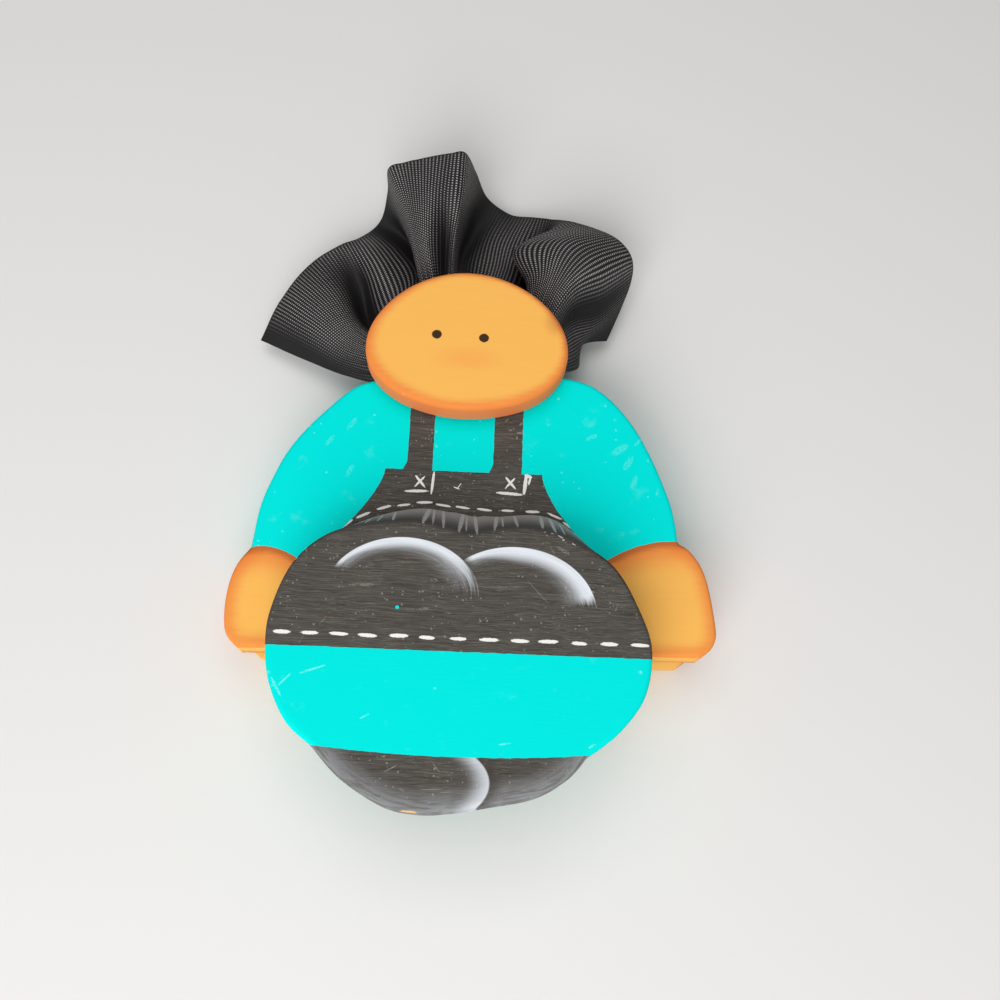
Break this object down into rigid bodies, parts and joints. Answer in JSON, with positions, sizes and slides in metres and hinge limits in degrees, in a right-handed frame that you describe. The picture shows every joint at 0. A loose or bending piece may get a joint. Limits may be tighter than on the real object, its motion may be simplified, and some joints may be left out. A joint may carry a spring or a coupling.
{
  "type": "basket sitter figure",
  "caption": "Flat painted wooden shelf figure with a seated lap board, an oval head and a gathered ribbon bonnet, lying on its back.",
  "frame": {"origin": "on the back face of the body board, on the figure's middle line and 30 mm above its flat seat edge", "axes": "+X to the viewer's right when looking at the painted front, +Y from the shoes towards the bonnet, +Z out of the painted front"},
  "size_m": [0.1073, 0.156, 0.032],
  "materials": {
    "painted_body": "satin craft paint, turquoise with black bib and orange hands, worn along the edges",
    "painted_lap": "satin craft paint, brushed black over turquoise, with white dashes and dry-brushed highlights",
    "painted_head": "satin craft paint, warm orange shaded darker at the rim",
    "bonnet_ribbon": "black woven ribbon with a fine dotted weave and a soft sheen"
  },
  "bodies": {
    "root": {"body_board": "painted_body", "lap_board": "painted_lap", "head": "painted_head", "bonnet_ribbon": "bonnet_ribbon"}
  },
  "joints": []
}
